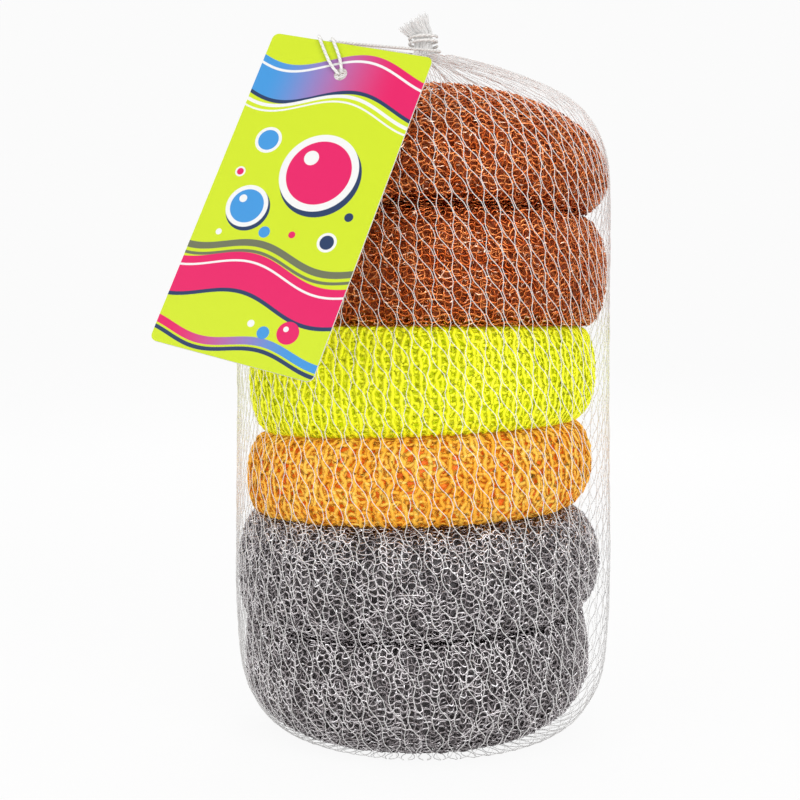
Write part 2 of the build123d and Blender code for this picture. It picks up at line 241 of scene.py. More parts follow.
# %% Patchy tone
patchy_tone, given, result = new_group(
    "patchy_tone", ["Mask"], Vector=None, Scale=300.0, Detail=3.0, From=0.35, To=0.65)
noise = add_node(
    patchy_tone, "ShaderNodeTexNoise", Vector=given["Vector"], Scale=given["Scale"], Detail=given["Detail"])
spread = add_node(
    patchy_tone, "ShaderNodeMapRange", interpolation_type="SMOOTHSTEP",
    Value=noise.outputs["Fac"], From_Min=given["From"], From_Max=given["To"])
patchy_tone.links.new(spread.outputs["Result"], result["Mask"])

# %% Drawn lines along a ribbon
drawn_lines, given, result = new_group("drawn_lines", ["Height"], Vector=None, Along=0.6, Across=14.0)
parts = add_node(drawn_lines, "ShaderNodeSeparateXYZ", Vector=given["Vector"]).outputs
stretched = add_node(
    drawn_lines, "ShaderNodeCombineXYZ",
    X=maths(drawn_lines, "MULTIPLY", parts["X"], given["Along"]),
    Y=maths(drawn_lines, "MULTIPLY", parts["Y"], given["Across"]))
streaks = add_node(drawn_lines, "ShaderNodeTexNoise", Vector=stretched.outputs[0], Scale=1.0, Detail=2.0)
drawn_lines.links.new(streaks.outputs["Fac"], result["Height"])

# %% Yarn twist
yarn_twist, given, result = new_group(
    "yarn_twist", ["Height", "Groove"], Vector=None, Turns_per_mm=0.5, Plies=2.0)
parts = add_node(yarn_twist, "ShaderNodeSeparateXYZ", Vector=given["Vector"]).outputs
climb = maths(yarn_twist, "MULTIPLY", parts["X"], given["Turns per mm"])
around = maths(yarn_twist, "ADD", climb, parts["Y"])
by_ply = maths(yarn_twist, "MULTIPLY", around, given["Plies"])
ridge = maths(yarn_twist, "SINE", maths(yarn_twist, "MULTIPLY", by_ply, math.pi))
height = maths(yarn_twist, "ABSOLUTE", ridge)
# Painted shade: a mask that is 1 between the plies, where the yarn is drawn darker.
groove_shade = add_node(yarn_twist, "ShaderNodeMapRange", Value=height, From_Min=0.45, From_Max=0.0)
yarn_twist.links.new(height, result["Height"])
yarn_twist.links.new(groove_shade.outputs["Result"], result["Groove"])

# %% [markdown]
# ## Finishes of the scourers
# Copper and steel scourers are knitted from flattened wire. Each ribbon is polished by the rolls and
# stained a little by heat and handling, so its tone and its gloss change every few millimetres, and small
# level highlights are painted into its colour. The plastic ones are knitted from slit film, which is satin
# and lets light bounce from loop to loop. That light is painted in: the film glows faintly in its own
# colour, and the core under it is painted a deeper colour that glows too.


# %% Ribbon finish
def new_material(name):
    material = bpy.data.materials.new(name)
    material.use_nodes = True
    tree = material.node_tree
    tree.nodes.clear()
    shader = add_node(tree, "ShaderNodeBsdfPrincipled")
    add_node(tree, "ShaderNodeOutputMaterial", Surface=shader.outputs[0])
    return material, tree, shader


def mix_colours(tree, mask, first, second):
    """A colour that goes from the first to the second by the mask. Either may be an output."""
    mix = add_node(tree, "ShaderNodeMix", data_type="RGBA")
    feed(tree, mask, mix.inputs[0])
    for value, socket in ((first, mix.inputs[6]), (second, mix.inputs[7])):
        feed(tree, (*value, 1) if isinstance(value, tuple) else value, socket)
    return mix.outputs[2]


def add_bump(tree, height, strength, depth):
    """The normal of a relief, with its depth in mm."""
    made = add_node(tree, "ShaderNodeBump", Height=height, Strength=strength, Distance=depth * mm)
    return made.outputs[0]


def ribbon_material(name, dull, bright, painted_glint, metallic, roughness, patch_scale, line_depth, through=0):
    """A ribbon whose tone and gloss change in patches, with fine lines along it and small level highlights
    painted into its colour.
    Through is the strength of a glow of the film's own colour, painted in for light that comes through it
    from behind."""
    material, tree, shader = new_material(name)
    place = add_node(tree, "ShaderNodeTexCoord").outputs
    patches = place_group(
        tree, patchy_tone, Vector=place["Object"], Scale=patch_scale, From=0.36, To=0.66)[0]
    gloss_patches = place_group(
        tree, patchy_tone, Vector=place["Object"], Scale=patch_scale * 3.1, From=0.3, To=0.7)[0]
    # Painted highlights: a fine patch mask, stretched to lie level, mixes a pale colour into the ribbon
    # where light would catch a flat bit of it.
    level = add_node(tree, "ShaderNodeMapping", Vector=place["Object"], Scale=(1, 1, 2.6)).outputs[0]
    painted_glints = place_group(tree, patchy_tone, Vector=level, Scale=520, Detail=1.0, From=0.60, To=0.70)[0]
    lines = place_group(tree, drawn_lines, Vector=place["UV"])[0]
    colour = mix_colours(tree, painted_glints, mix_colours(tree, patches, dull, bright), painted_glint)
    gloss = add_node(
        tree, "ShaderNodeMapRange", Value=gloss_patches, To_Min=roughness[0], To_Max=roughness[1])
    set_sockets(tree, shader, Base_Color=colour, Roughness=gloss.outputs["Result"], Metallic=metallic,
                Normal=add_bump(tree, lines, 0.5, line_depth))
    # Painted glow: an emission of the film's own colour stands in for light that comes through the film.
    if not metallic:
        set_sockets(tree, shader, Specular_IOR_Level=0.3, Emission_Color=colour, Emission_Strength=through)
    return material


wire_polish, film_polish = (0.18, 0.48), (0.45, 0.6)     # lowest and highest roughness
# Strength of the painted glow on the plastic films.
film_painted_glow = 0.10
# The third colour of each ribbon is its painted highlight.
copper_ribbon = ribbon_material(
    "copper_ribbon", (0.60, 0.125, 0.026), (0.89, 0.32, 0.105), (0.98, 0.66, 0.48),
    1.0, wire_polish, 260, 0.02)
steel_ribbon = ribbon_material(
    "steel_ribbon", (0.33, 0.300, 0.310), (0.76, 0.720, 0.735), (0.95, 0.93, 0.95),
    1.0, (0.18, 0.45), 260, 0.02)
lime_ribbon = ribbon_material(
    "lime_ribbon", (0.93, 0.975, 0.012), (0.97, 0.99, 0.022), (0.97, 0.99, 0.05),
    0.0, film_polish, 160, 0.01, film_painted_glow)
orange_ribbon = ribbon_material(
    "orange_ribbon", (0.97, 0.43, 0.030), (0.99, 0.56, 0.070), (0.99, 0.66, 0.14),
    0.0, film_polish, 160, 0.01, film_painted_glow)

# %% Finish of the knit further in
def core_material(name, gap, loop, metallic, through=0):
    """The layers under the outer loops: small strands over gaps, in colours darkened by painted shade for
    their depth, darkest in the gaps.
    """
    material, tree, shader = new_material(name)
    place = add_node(tree, "ShaderNodeTexCoord").outputs["Object"]
    cells = add_node(tree, "ShaderNodeTexVoronoi", feature="DISTANCE_TO_EDGE", Vector=place, Scale=620)
    strand = add_node(
        tree, "ShaderNodeMapRange", Value=cells.outputs["Distance"], From_Min=0.16, From_Max=0.02)
    strand = strand.outputs["Result"]
    patches = place_group(tree, patchy_tone, Vector=place, Scale=350, From=0.35, To=0.7)[0]
    colour = mix_colours(tree, maths(tree, "MULTIPLY", strand, patches), gap, loop)
    set_sockets(tree, shader, Base_Color=colour, Roughness=0.5, Metallic=metallic,
                Normal=add_bump(tree, strand, 0.8, 0.4))
    # Painted glow: the plastic cores emit a little of their own colour, for light that comes through the
    # film.
    if through:
        set_sockets(tree, shader, Emission_Color=colour, Emission_Strength=through)
    return material


core_painted_glow = 0.22
# Each core's first colour is painted shade in the gaps between strands, its second the strands, darkened
# for depth.
copper_core = core_material("copper_core", (0.40, 0.070, 0.012), (0.76, 0.23, 0.060), 0.3)
steel_core = core_material("steel_core", (0.085, 0.077, 0.081), (0.42, 0.39, 0.40), 0.3)
lime_core = core_material("lime_core", (0.80, 0.90, 0.006), (0.95, 0.99, 0.010), 0.0, core_painted_glow)
orange_core = core_material("orange_core", (0.93, 0.19, 0.010), (0.98, 0.38, 0.020), 0.0, core_painted_glow)

# %% [markdown]
# ## The outline of a scourer
# A scourer is a knitted tube rolled on itself into a ring and drawn in at its middle. Pressed in the
# stack, its side is a squarish bulge with a notch above and below. The outline is kept as shares of
# the piece's own radius and of the two notch radii, because the notches are deeper on the right of
# the pack than on the left.

# %% The stack
notches = {  # radius on the right and on the left, from the axis of each scourer
    "base": (26.0, 27.0), "steel": (38.6, 41.8), "steel_orange": (35.2, 39.8),
    "orange_lime": (37.0, 37.4), "lime_copper": (38.4, 38.8), "copper": (35.8, 38.6), "crown": (0.0, 0.0),
}
stack = [
    # name, radius, foot, top, height of the widest ring, offset in X, notch below, notch above
    ("steel_scourer_lower", 42.6, 0.9, 29.2, 17.0, -1.4, "base", "steel"),
    ("steel_scourer_upper", 44.6, 29.5, 54.2, 40.9, -1.0, "steel", "steel_orange"),
    ("orange_scourer", 42.4, 54.5, 74.3, 64.4, -0.9, "steel_orange", "orange_lime"),
    ("lime_scourer", 42.4, 74.6, 98.5, 86.5, -0.2, "orange_lime", "lime_copper"),
    ("copper_scourer_lower", 43.2, 98.8, 125.2, 112.0, 1.6, "lime_copper", "copper"),
    ("copper_scourer_upper", 43.4, 125.5, 156.6, 134.2, 1.6, "copper", "crown"),
]
lean_heights = [0.0, 29.4, 54.3, 74.5, 98.6, 125.4, 160.2]
lean_rises = [0.0, 1.25, 0.75, 1.85, 0.0, 0.0, 0.0]  # how far the stack rises at its right edge
lean_radius = 43.0
face_width = 7.0  # of the flat faces, as far as loops go in


def outline(piece):
    """Arc length, own radius, shares of the lower and upper notch, and height, as columns."""
    radius, foot, top, widest = piece[1:5]
    below, above = piece[6:]
    turn = np.radians(np.linspace(-90, 90, 81))
    bulge = np.clip(np.cos(turn), 0, 1)
    half = np.where(turn < 0, widest - foot, top - widest)
    rows = np.stack([
        radius * bulge,
        np.where(turn < 0, 1 - bulge, 0),
        np.where(turn < 0, 0, 1 - bulge),
        widest + half * np.sin(turn),
    ], axis=1)
    inward = np.linspace(-face_width, 0, 8)[:-1]
    low_face = np.stack([inward, np.ones(7), np.zeros(7), np.full(7, foot)], axis=1)
    high_face = np.stack([inward, np.zeros(7), np.ones(7), np.full(7, top)], axis=1)[::-1]
    rows = np.concatenate([low_face, rows] if above == "crown" else [low_face, rows, high_face])
    mean = rows[:, 0] + rows[:, 1] * np.mean(notches[below]) + rows[:, 2] * np.mean(notches[above])
    steps = np.hypot(np.diff(mean), np.diff(rows[:, 3]))
    length = np.concatenate([[0], np.cumsum(steps)])
    keep = np.concatenate([[True], steps > 1e-6])
    length, rows, mean = length[keep], rows[keep], mean[keep]
    slope_r = np.gradient(mean, length)
    slope_z = np.gradient(rows[:, 3], length)
    size = np.hypot(slope_r, slope_z)
    return length, rows, slope_z / size, -slope_r / size


def on_scourer(piece, shape, length, turn, lift):
    """Points at a length along the outline and a turn round the axis, lifted off the surface."""
    offset, below, above = piece[5:]
    lengths, rows, normal_r, normal_z = shape
    own, low_share, high_share, height = (np.interp(length, lengths, rows[:, k]) for k in range(4))
    facing_r = np.interp(length, lengths, normal_r)
    facing_z = np.interp(length, lengths, normal_z)
    right = (1 + np.cos(turn)) / 2
    low_notch = notches[below][0] * right + notches[below][1] * (1 - right)
    high_notch = notches[above][0] * right + notches[above][1] * (1 - right)
    r = own + low_share * low_notch + high_share * high_notch + facing_r * lift
    z = height + facing_z * lift
    x, y = r * np.cos(turn) + offset, r * np.sin(turn)
    z = z + np.interp(z, lean_heights, lean_rises) * x / lean_radius
    points = np.stack(np.broadcast_arrays(x, y, z), axis=-1)
    facing = np.broadcast_arrays(facing_r * np.cos(turn), facing_r * np.sin(turn), facing_z)
    return points, np.stack(facing, axis=-1)


for piece in stack:
    print(piece[0], "outline length", round(outline(piece)[0][-1], 1))


# %% [markdown]
# ## Strands
# Everything else here is a strand: wire ribbon, plastic film, net thread or string. One helper turns
# rows of points into thin closed tubes with a given cross-section, and writes their UV map. It works
# on whole arrays, because a pack holds tens of thousands of loops, far more than modifiers or hand
# work could follow over a bulging side.


# %% Strand helper
def unit(vectors):
    return vectors / np.maximum(np.linalg.norm(vectors, axis=-1, keepdims=True), 1e-12)


def flat_section(width, thickness):
    """A ribbon's cross-section: a low roof over a flat bottom."""
    return np.array([(-width / 2, -thickness / 3), (width / 2, -thickness / 3), (0, 2 * thickness / 3)])


def round_section(radius, sides):
    turn = 2 * np.pi * np.arange(sides) / sides
    return np.stack([radius * np.cos(turn), radius * np.sin(turn)], axis=1)


def strand_piece(name, paths, facing, section, closed, material):
    """Closed tubes along rows of points in mm. Facing is the way that each strand's flat side looks."""
    count, points, _ = paths.shape
    sides = len(section)
    if closed:
        ahead, behind = np.roll(paths, -1, axis=1), np.roll(paths, 1, axis=1)
    else:
        ahead = np.concatenate([paths[:, 1:], paths[:, -1:]], axis=1)
        behind = np.concatenate([paths[:, :1], paths[:, :-1]], axis=1)
    tangent = unit(ahead - behind)
    across = unit(np.cross(facing, tangent))
    up = np.cross(tangent, across)
    rings = (paths[:, :, None, :] + across[:, :, None, :] * section[None, None, :, :1]
             + up[:, :, None, :] * section[None, None, :, 1:])
    index = np.arange(count * points * sides).reshape(count, points, sides)
    after = np.roll(index, -1, axis=1)
    if not closed:
        index, after = index[:, :-1], after[:, :-1]
    quads = np.stack([index, np.roll(index, -1, axis=2), np.roll(after, -1, axis=2), after], axis=-1)
    faces = quads.reshape(-1, 4).tolist()
    if not closed:
        first = np.arange(count) * points * sides
        for start in first.tolist():
            last = start + (points - 1) * sides
            faces.append(list(range(start, start + sides))[::-1])
            faces.append(list(range(last, last + sides)))
    mesh = bpy.data.meshes.new(name)
    mesh.from_pydata((rings.reshape(-1, 3) * mm).tolist(), [], faces)
    reach = np.linalg.norm(paths - behind, axis=-1)
    reach[:, 0] = 0
    along = np.cumsum(reach, axis=1)[:, :-1] if not closed else np.cumsum(reach, axis=1)
    step = reach.mean()
    corner_u = np.repeat(along.reshape(-1), sides)[:, None] + np.array([0, 0, step, step])
    side = np.tile(np.arange(sides), along.size)[:, None]
    corner_v = (side + np.array([0, 1, 1, 0])) / sides
    uv = np.zeros((len(mesh.loops), 2), np.float32)
    uv[:quads.size // 4 * 4] = np.stack([corner_u, corner_v], axis=-1).reshape(-1, 2)
    layer = mesh.uv_layers.new(name="strand")
    layer.data.foreach_set("uv", uv.ravel())
    obj = bpy.data.objects.new(name, mesh)
    scene.collection.objects.link(obj)
    mesh.shade_smooth()
    mesh.materials.append(material)
    return obj


# %% [markdown]
# ## Knitted loops
# In plain knitting one ribbon runs round the tube as a row of loops, and each row's loops hang in the
# heads of the row before. A loop can be written as three waves: it swings up and down once, it leans
# outwards twice so that its neck is pinched, and it passes from the back to the front twice. A slow
# wander, made of a few sine waves with seeded phases, takes away the machine's evenness.


# %% Knit one layer
def wander(turn, length, seed, waves=14, fine=40, climb=0.9):
    """A smooth random field round a scourer, about 1 in size."""
    rng = np.random.default_rng(seed)
    total = 0
    for _ in range(waves):
        phase = rng.integers(2, fine) * turn + rng.normal(0, climb) * length + rng.uniform(0, 6.28)
        total = total + np.sin(phase)
    return total / math.sqrt(waves)


def knit(piece, label, material, loops, row_gap, points, reach, pinch, depth, section, sunk, uneven, seed,
         first=0.0, last=0.0):
    """One knitted layer. Reach is a loop's half height over the row gap; lengths are in mm."""
    shape = outline(piece)
    total = shape[0][-1] - last
    rows = max(2, int((total - first) / row_gap))
    start = first + (total - first - (rows - 1) * row_gap) / 2
    phase = np.arange(loops * points) / points
    swing = 2 * np.pi * phase
    turn = 2 * np.pi / loops * (phase + pinch * np.sin(2 * swing))
    turn = np.repeat(turn[None, :], rows, axis=0)
    length = start + row_gap * np.arange(rows)[:, None] + 0 * turn
    rng = np.random.default_rng(seed)
    heights = 1 + uneven * 0.25 * rng.normal(size=loops + 1)
    own_height = np.interp(phase % loops, np.arange(loops + 1), heights)
    length = length - reach * row_gap * np.cos(swing) * own_height
    lift = -depth * np.cos(2 * swing) - sunk
    length = length + uneven * row_gap * 0.35 * wander(turn, length, seed + 1)
    turn = turn + uneven * (2 * np.pi / loops) * 0.22 * wander(turn, length, seed + 2)
    lift = lift + uneven * depth * 0.9 * wander(turn, length, seed + 3, fine=90, climb=1.6)
    length = np.clip(length, shape[0][0], shape[0][-1])
    paths, facing = on_scourer(piece, shape, length, turn, lift)
    twist = uneven * 0.8 * wander(turn, length, seed + 4, fine=110, climb=2.0)
    tangent = unit(np.roll(paths, -1, axis=1) - np.roll(paths, 1, axis=1))
    side = unit(np.cross(facing, tangent))
    facing = facing * np.cos(twist)[..., None] + side * np.sin(twist)[..., None]
    obj = strand_piece(label, paths, facing, section, True, material)
    print(label, "rows", rows, "loops", rows * loops, "triangles", rows * loops * points * 6)
    return obj


# %% [markdown]
# ## Core
# Under the outer loops lies the rest of the rolled tube. It shows only as depth between the loops, so it
# is one closed skin, spun from the outline, a little inside the outer layer. Its colour is painted shade
# for that depth. Its faces fall into the gathered middle with soft pleats, as the solid's do.

# %% Spin a core
dimple_radius, dimple_depth, stalk_radius, stalk_height = 15.0, 6.5, 3.2, 4.2
pleats = 12


def core(piece, label, material, sunk):
    """The inside of the rolled tube, spun from the outline."""
    foot, top, offset, above = piece[2], piece[3], piece[5], piece[7]
    shape = outline(piece)
    at = np.linspace(0, shape[0][-1], 46)
    centred = (*piece[:5], 0.0, *piece[6:])
    points, _ = on_scourer(centred, shape, at, np.pi / 2 + 0 * at, -sunk)
    section = [(y, z) for _, y, z in points]
    face, side = (foot + sunk, -1) if above == "crown" else (top - sunk, 1)
    deep = face - side * dimple_depth
    slope = [(dimple_radius - (dimple_radius - stalk_radius) * k / 6,
              face - side * dimple_depth * (1 - math.cos(math.pi * k / 6)) / 2) for k in range(7)]
    middle = slope + [(stalk_radius, deep + side * stalk_height), (0.0, deep + side * stalk_height)]
    if above == "crown":
        section = [(0.0, section[-1][1])] + section[::-1][1:] + middle
    else:
        section = [(0.0, section[0][1])] + section + middle
    mesh = bpy.data.meshes.new(label)
    edges = [(k, k + 1) for k in range(len(section) - 1)]
    mesh.from_pydata([(r * mm, 0, z * mm) for r, z in section], edges, [])
    obj = bpy.data.objects.new(label, mesh)
    scene.collection.objects.link(obj)
    deselect()
    obj.select_set(True)
    bpy.context.view_layer.objects.active = obj
    bpy.ops.object.mode_set(mode="EDIT")
    bpy.ops.mesh.select_all(action="SELECT")
    bpy.ops.mesh.spin(steps=96, angle=2 * math.pi, center=(0, 0, 0), axis=(0, 0, 1))
    bpy.ops.mesh.select_all(action="SELECT")
    bpy.ops.mesh.remove_doubles(threshold=0.02 * mm)
    bpy.ops.mesh.normals_make_consistent(inside=False)
    bpy.ops.object.mode_set(mode="OBJECT")
    place = np.zeros(len(mesh.vertices) * 3)
    mesh.vertices.foreach_get("co", place)
    place = place.reshape(-1, 3) / mm
    r = np.hypot(place[:, 0], place[:, 1])
    turn = np.arctan2(place[:, 1], place[:, 0])
    near_face = np.abs(place[:, 2] - face) < dimple_depth + 0.5
    fold = np.clip((r - stalk_radius) / 3, 0, 1) * np.clip((dimple_radius + 2 - r) / 6, 0, 1) * near_face
    place[:, 2] += 0.7 * np.cos(pleats * turn) * fold
    place[:, 0] += offset
    place[:, 2] += np.interp(place[:, 2], lean_heights, lean_rises) * place[:, 0] / lean_radius
    mesh.vertices.foreach_set("co", (place * mm).ravel())
    mesh.update()
    bpy.ops.object.shade_smooth()
    mesh.materials.append(material)
    return obj


# %% [markdown]
# ## Loose ends
# A knitted roll never lies flat. Short lengths of ribbon spring out of the knit and catch the light, and
# they make the edge of the pack soft. Each is a small arc that starts and ends in the knit.


# %% Spring out some ribbon
def loose_ends(piece, label, material, count, span, rise, section, seed):
    shape = outline(piece)
    rng = np.random.default_rng(seed)
    share = np.linspace(-1, 1, 9)[None, :]
    middle = rng.uniform(face_width + 1, shape[0][-1] - face_width - 1, (count, 1))
    turn = rng.uniform(0, 2 * np.pi, (count, 1))
    way = rng.normal(0, 0.6, (count, 1))
    half = rng.uniform(span * 0.4, span, (count, 1)) / 2
    bend = rng.normal(0, 0.35, (count, 1))
    length = middle + half * (share * np.sin(way) + bend * share ** 2)
    turned = turn + half * share * np.cos(way) / piece[1]
    lift = rise * rng.uniform(0.2, 1, (count, 1)) * (1 - share ** 2) - 0.5
    length = np.clip(length, shape[0][0], shape[0][-1])
    paths, facing = on_scourer(piece, shape, length, turned, lift)
    twist = rng.normal(0, 0.7, (count, 1)) + 0 * lift
    side = unit(np.cross(facing, unit(np.gradient(paths, axis=1))))
    facing = facing * np.cos(twist)[..., None] + side * np.sin(twist)[..., None]
    return strand_piece(label, paths, facing, section, False, material)


# %% Knit the stack
wire = flat_section(0.50, 0.12)
fine_wire = flat_section(0.42, 0.12)
film = flat_section(1.05, 0.16)
broad_film = flat_section(1.05, 0.16)
metal_layers = [
    # name, loops, row gap, points to a loop, reach, pinch, depth, section, sunk, uneven, seed step
    ("_knit", 80, 1.65, 11, 0.85, 0.12, -0.30, wire, 0.25, 0.55, 0),
    ("_under_knit", 68, 2.0, 10, 0.95, 0.13, -0.30, fine_wire, 1.05, 1.1, 20),
]
lime_layers = [
    ("_knit", 66, 1.85, 14, 0.95, 0.10, 0.26, film, 0.2, 0.45, 0),
    ("_under_knit", 62, 2.0, 10, 0.95, 0.10, 0.22, film, 0.75, 0.8, 20),
]
orange_layers = [
    ("_knit", 50, 2.7, 14, 0.88, 0.14, 0.22, broad_film, 0.2, 0.5, 0),
    ("_under_knit", 56, 2.4, 10, 0.95, 0.14, 0.24, broad_film, 0.8, 0.8, 20),
]
finishes = {
    # ribbon, core, slot, layers, how far the core lies under the surface
    "steel": (steel_ribbon, steel_core, "steel_knit", metal_layers, 1.6),
    "orange": (orange_ribbon, orange_core, "orange_knit", orange_layers, 1.2),
    "lime": (lime_ribbon, lime_core, "lime_knit", lime_layers, 1.2),
    "copper": (copper_ribbon, copper_core, "copper_knit", metal_layers, 1.6),
}
crown_width = 26.0
for order, piece in enumerate(stack):
    name = piece[0]
    ribbon, inner, slot, layers, core_sunk = finishes[name.split("_")[0]]
    seed = 100 * (order + 1)
    crown = crown_width if piece[-1] == "crown" else 0.0
    made = [
        knit(piece, name + label, ribbon, *values, seed + step, last=crown)
        for label, *values, step in layers
    ]
    if layers is metal_layers:
        made.append(loose_ends(piece, name + "_loose_ends", ribbon, 260, 9.0, 0.9, fine_wire, seed + 40))
    if crown:
        made.append(knit(piece, name + "_crown_knit", ribbon, 40, 1.8, 10, 0.85, 0.12, -0.30, wire,
                         0.25, 0.8, seed + 30, first=outline(piece)[0][-1] - crown, last=3.0))
    made.append(core(piece, name + "_core", inner, core_sunk))
    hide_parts(name)
    for part in made:
        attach(part, "pack")

# %% [markdown]
# ## Net sleeve
# The sleeve is warp-knitted: every thread goes its own way up the pack, and by turns it is knotted to
# its left and to its right neighbour. That makes long six-sided meshes with doubled strands between
# them. The pack was turned while the net was drawn over it, so the meshes stand upright on the left
# and lean on the right. Above and below, all threads run together into the bound ends. The thread is so
# fine that light comes through it, so it is partly clear, and a faint glow of its own colour is painted on
# it.

# %% Outline of the sleeve
sleeve = np.array([
    # radius, height
    (2.0, 7.6), (2.2, 4.6), (3.2, 2.2), (6.5, 0.7), (12.0, 0.30), (22.0, 0.28), (30.5, 0.35), (35.5, 1.5),
    (39.6, 4.6), (42.7, 9.2), (44.5, 14.0), (45.4, 20.0), (46.0, 29.0), (46.15, 40.0), (45.9, 60.0),
    (45.6, 80.0), (45.5, 100.0), (45.5, 120.0), (45.3, 133.0), (44.2, 140.4), (41.6, 146.6), (37.6, 151.2),
    (32.0, 154.8),
    (24.5, 157.9), (17.0, 160.3), (10.0, 162.3), (5.4, 163.6), (3.1, 164.5), (2.3, 165.6), (2.3, 168.6),
])
steps = np.hypot(*np.diff(sleeve, axis=0).T)
sleeve_length = np.concatenate([[0], np.cumsum(steps)])
print("sleeve outline length", round(sleeve_length[-1], 1))


def smooth_curve(points, samples):
    """A smooth line through points, by Catmull-Rom."""
    padded = np.concatenate([2 * points[:1] - points[1:2], points, 2 * points[-1:] - points[-2:-1]])
    spots = np.linspace(0, len(points) - 1 - 1e-9, samples)
    base = spots.astype(int)
    t = (spots - base)[:, None]
    a, b, c, d = (padded[base + k] for k in range(4))
    return 0.5 * (2 * b + (c - a) * t + (2 * a - 5 * b + 4 * c - d) * t ** 2
                  + (3 * b - a - 3 * c + d) * t ** 3)


fine_sleeve = smooth_curve(sleeve, 1200)
fine_length = np.concatenate([[0], np.cumsum(np.hypot(*np.diff(fine_sleeve, axis=0).T))])

# %% Run the net's threads
threads = 176
mesh_height = 9.0
thread_radius = 0.11
knot_share = 0.22  # of a mesh's height, where two threads run together
turned = 1.45  # radians that the pack was turned in its net
turned_more = 0.75  # and how much more of it shows at the right than at the left
pair_gap = 0.055  # of a thread's space, on each side where two run together
gathers = 15  # folds of the net round its neck
samples = 240
tail_length, tail_lean = 5.2, math.radians(30)

count = np.arange(threads)
place = np.linspace(0, 1, samples)
along = place * fine_length[-1]
r = np.interp(along, fine_length, fine_sleeve[:, 0])
z = np.interp(along, fine_length, fine_sleeve[:, 1])
turning = np.interp(r, [8, 36], [0.0, 1.0])
turning[z < 8] = 0
from_top = np.cumsum(turning[::-1])[::-1] / turning.sum()
home = 2 * np.pi * (count + 0.5) / threads
start_turn = home[:, None] + 0 * along[None, :]
bias = start_turn + math.radians(115)
swirl = (turned + turned_more * 0.9 * (np.sin(bias) - np.sin(3 * bias) / 9)) * from_top[None, :]
phase = along[None, :] / mesh_height + 0.16 * wander(start_turn, along[None, :] * 0.05, 71, fine=9)
wave = np.sin(2 * np.pi * phase)
steep = np.clip(wave / math.sin(math.pi * (0.5 - knot_share)), -1, 1)
open_share = np.interp(r, [2.5, 14, 26], [0.0, 0.6, 1.0])[None, :]
side = np.where(count % 2 == 0, 1.0, -1.0)[:, None]
shift = side * steep * (0.5 - pair_gap) * open_share
shift = shift + 0.16 * wander(start_turn, along[None, :] * 0.3, 72, fine=30)
turn = start_turn + swirl + 2 * np.pi / threads * shift
bunched = np.interp(r, [4, 24], [0.75, 0.0])[None, :]
turn = turn + bunched * np.sin(gathers * start_turn) / gathers
rng = np.random.default_rng(73)
inside = np.sqrt(rng.uniform(0.05, 1, (threads, 1)))
packed = np.interp(r, [2.3, 3.4, 9.0], [1.0, 1.0, 0.0])[None, :]
ring = r[None, :] * (1 - packed * (1 - inside))
rise = 0.10 * side * np.abs(steep) + 0.08 * wander(start_turn, along[None, :] * 0.4, 74, fine=50)
pleat_share = (np.interp(r, [3, 10, 24, 34], [0.0, 1.0, 0.5, 0.0]) * (z > 100))[None, :]
pleat_rise = 0.9 * np.cos(gathers * start_turn) * pleat_share
paths = np.stack([
    ring * np.cos(turn) * (1 + rise / np.maximum(ring, 5)),
    ring * np.sin(turn) * (1 + rise / np.maximum(ring, 5)),
    z[None, :] + pleat_rise + 0 * turn,
], axis=-1)
paths[:, :, 2] = np.maximum(paths[:, :, 2], thread_radius)

# %% Let the tail fall to the left
tail_points = 10
out = np.linspace(0, 1, tail_points)[None, 1:]
end_turn = turn[:, -1:]
end_ring = ring[:, -1:]
reach = tail_length * rng.uniform(0.82, 1.0, (threads, 1)) * out
flare = end_ring * (1 + 0.75 * out ** 1.3) + 0.15 * rng.normal(size=(threads, 1)) * out
local = np.stack([flare * np.cos(end_turn), flare * np.sin(end_turn), reach], axis=-1)
lean_now = tail_lean * np.clip(out * 2.2, 0, 1)
tail = np.stack([
    local[..., 0] * np.cos(lean_now) - local[..., 2] * np.sin(lean_now),
    local[..., 1],
    sleeve[-1, 1] + local[..., 0] * np.sin(lean_now) + local[..., 2] * np.cos(lean_now),
], axis=-1)
paths = np.concatenate([paths, tail], axis=1)
outward = np.stack([np.cos(turn), np.sin(turn), 0.35 + 0 * turn], axis=-1)
outward = np.concatenate([outward, np.repeat(outward[:, -1:], tail_points - 1, axis=1)], axis=1)


# %% Net thread finish
def yarn_material(name, colour, shade, turns, depth, roughness, alpha=1.0, through=0):
    """Two-ply thread: darker between its plies, a painted shade, with loose fibres in its tone."""
    material, tree, shader = new_material(name)
    place = add_node(tree, "ShaderNodeTexCoord").outputs
    twist = place_group(tree, yarn_twist, Vector=place["UV"], Turns_per_mm=turns, Plies=2.0)
    fibres = place_group(tree, patchy_tone, Vector=place["Object"], Scale=900, From=0.3, To=0.7)[0]
    groove_shaded = mix_colours(tree, twist["Groove"], colour, shade)
    toned = mix_colours(tree, maths(tree, "MULTIPLY", fibres, 0.35), groove_shaded, shade)
    set_sockets(tree, shader, Base_Color=toned, Roughness=roughness, Sheen_Weight=0.25, Alpha=alpha,
                Normal=add_bump(tree, twist["Height"], 0.7, depth))
    # Painted glow: an emission of the yarn's own colour, for light that comes through a fine thread.
    if through:
        set_sockets(tree, shader, Emission_Color=toned, Emission_Strength=through)
    return material


# Each yarn's second colour is the painted shade between its plies and also the darker tone of its loose
# fibres.
net_thread = yarn_material(
    "net_thread", (0.95, 0.94, 0.93), (0.88, 0.87, 0.86), 0.9, 0.02, 0.45, alpha=0.55, through=0.10)
cotton_string = yarn_material("cotton_string", (0.88, 0.87, 0.85), (0.62, 0.60, 0.57), 0.42, 0.14, 0.75)

